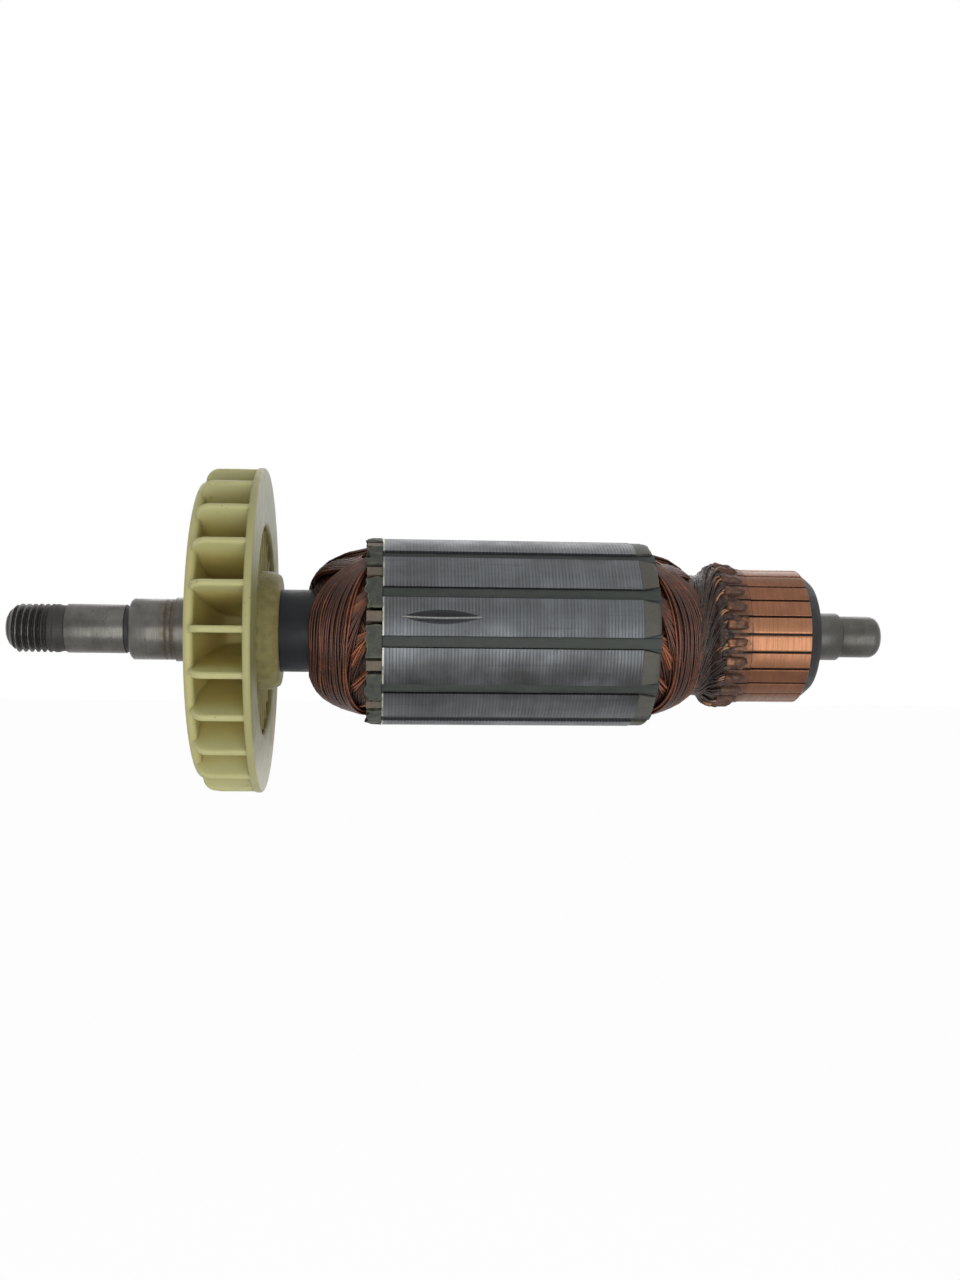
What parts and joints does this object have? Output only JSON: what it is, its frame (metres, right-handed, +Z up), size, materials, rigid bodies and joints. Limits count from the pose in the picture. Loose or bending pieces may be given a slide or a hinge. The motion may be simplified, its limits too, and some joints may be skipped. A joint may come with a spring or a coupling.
{
  "type": "motor armature",
  "caption": "Wound armature on a stepped shaft, with a moulded cooling fan, laminated slotted core, enamelled wire coils and a copper hook commutator.",
  "frame": {"origin": "on the shaft's axis, in the plane of the shoulder that stops the front bearing", "axes": "+X along the shaft towards the commutator, -X towards the threaded nose, +Z up, -Y the side with the balancing groove"},
  "size_m": [0.1449, 0.0532, 0.0532],
  "materials": {
    "ground_steel": "ground, oiled grey",
    "lamination_steel": "turned stack of thin sheets, satin",
    "fan_nylon": "moulded, slightly translucent, pale yellow",
    "black_tube": "satin black",
    "front_fibre": "pressed fibre, olive brown",
    "rear_fibre": "moulded, dull olive grey",
    "slot_paper": "varnished grey-green insulating paper",
    "enamelled_wire": "enamelled copper under brown varnish",
    "varnished_leads": "dark brown varnish over fine wire",
    "commutator_copper": "fine turned copper, stained at the hooks",
    "commutator_moulding": "black phenolic, satin"
  },
  "bodies": {
    "root": {"shaft": "ground_steel", "fan": "fan_nylon", "insulation_tube": "black_tube", "core_stack": "lamination_steel", "front_end_plate": "front_fibre", "rear_end_plate": "rear_fibre", "slot_wedges": "slot_paper", "lead_neck": "varnished_leads", "commutator_hub": "commutator_moulding", "slot_liner_1": "slot_paper", "slot_liner_2": "slot_paper", "slot_liner_3": "slot_paper", "slot_liner_4": "slot_paper", "slot_liner_5": "slot_paper", "slot_liner_6": "slot_paper", "slot_liner_7": "slot_paper", "slot_liner_8": "slot_paper", "slot_liner_9": "slot_paper", "slot_liner_10": "slot_paper", "slot_liner_11": "slot_paper", "slot_liner_12": "slot_paper", "coil_1": "enamelled_wire", "coil_2": "enamelled_wire", "coil_3": "enamelled_wire", "coil_4": "enamelled_wire", "coil_5": "enamelled_wire", "coil_6": "enamelled_wire", "coil_7": "enamelled_wire", "coil_8": "enamelled_wire", "coil_9": "enamelled_wire", "coil_10": "enamelled_wire", "coil_11": "enamelled_wire", "coil_12": "enamelled_wire", "bar_1": "commutator_copper", "bar_2": "commutator_copper", "bar_3": "commutator_copper", "bar_4": "commutator_copper", "bar_5": "commutator_copper", "bar_6": "commutator_copper", "bar_7": "commutator_copper", "bar_8": "commutator_copper", "bar_9": "commutator_copper", "bar_10": "commutator_copper", "bar_11": "commutator_copper", "bar_12": "commutator_copper", "bar_13": "commutator_copper", "bar_14": "commutator_copper", "bar_15": "commutator_copper", "bar_16": "commutator_copper", "bar_17": "commutator_copper", "bar_18": "commutator_copper", "bar_19": "commutator_copper", "bar_20": "commutator_copper", "bar_21": "commutator_copper", "bar_22": "commutator_copper", "bar_23": "commutator_copper", "bar_24": "commutator_copper"}
  },
  "joints": []
}
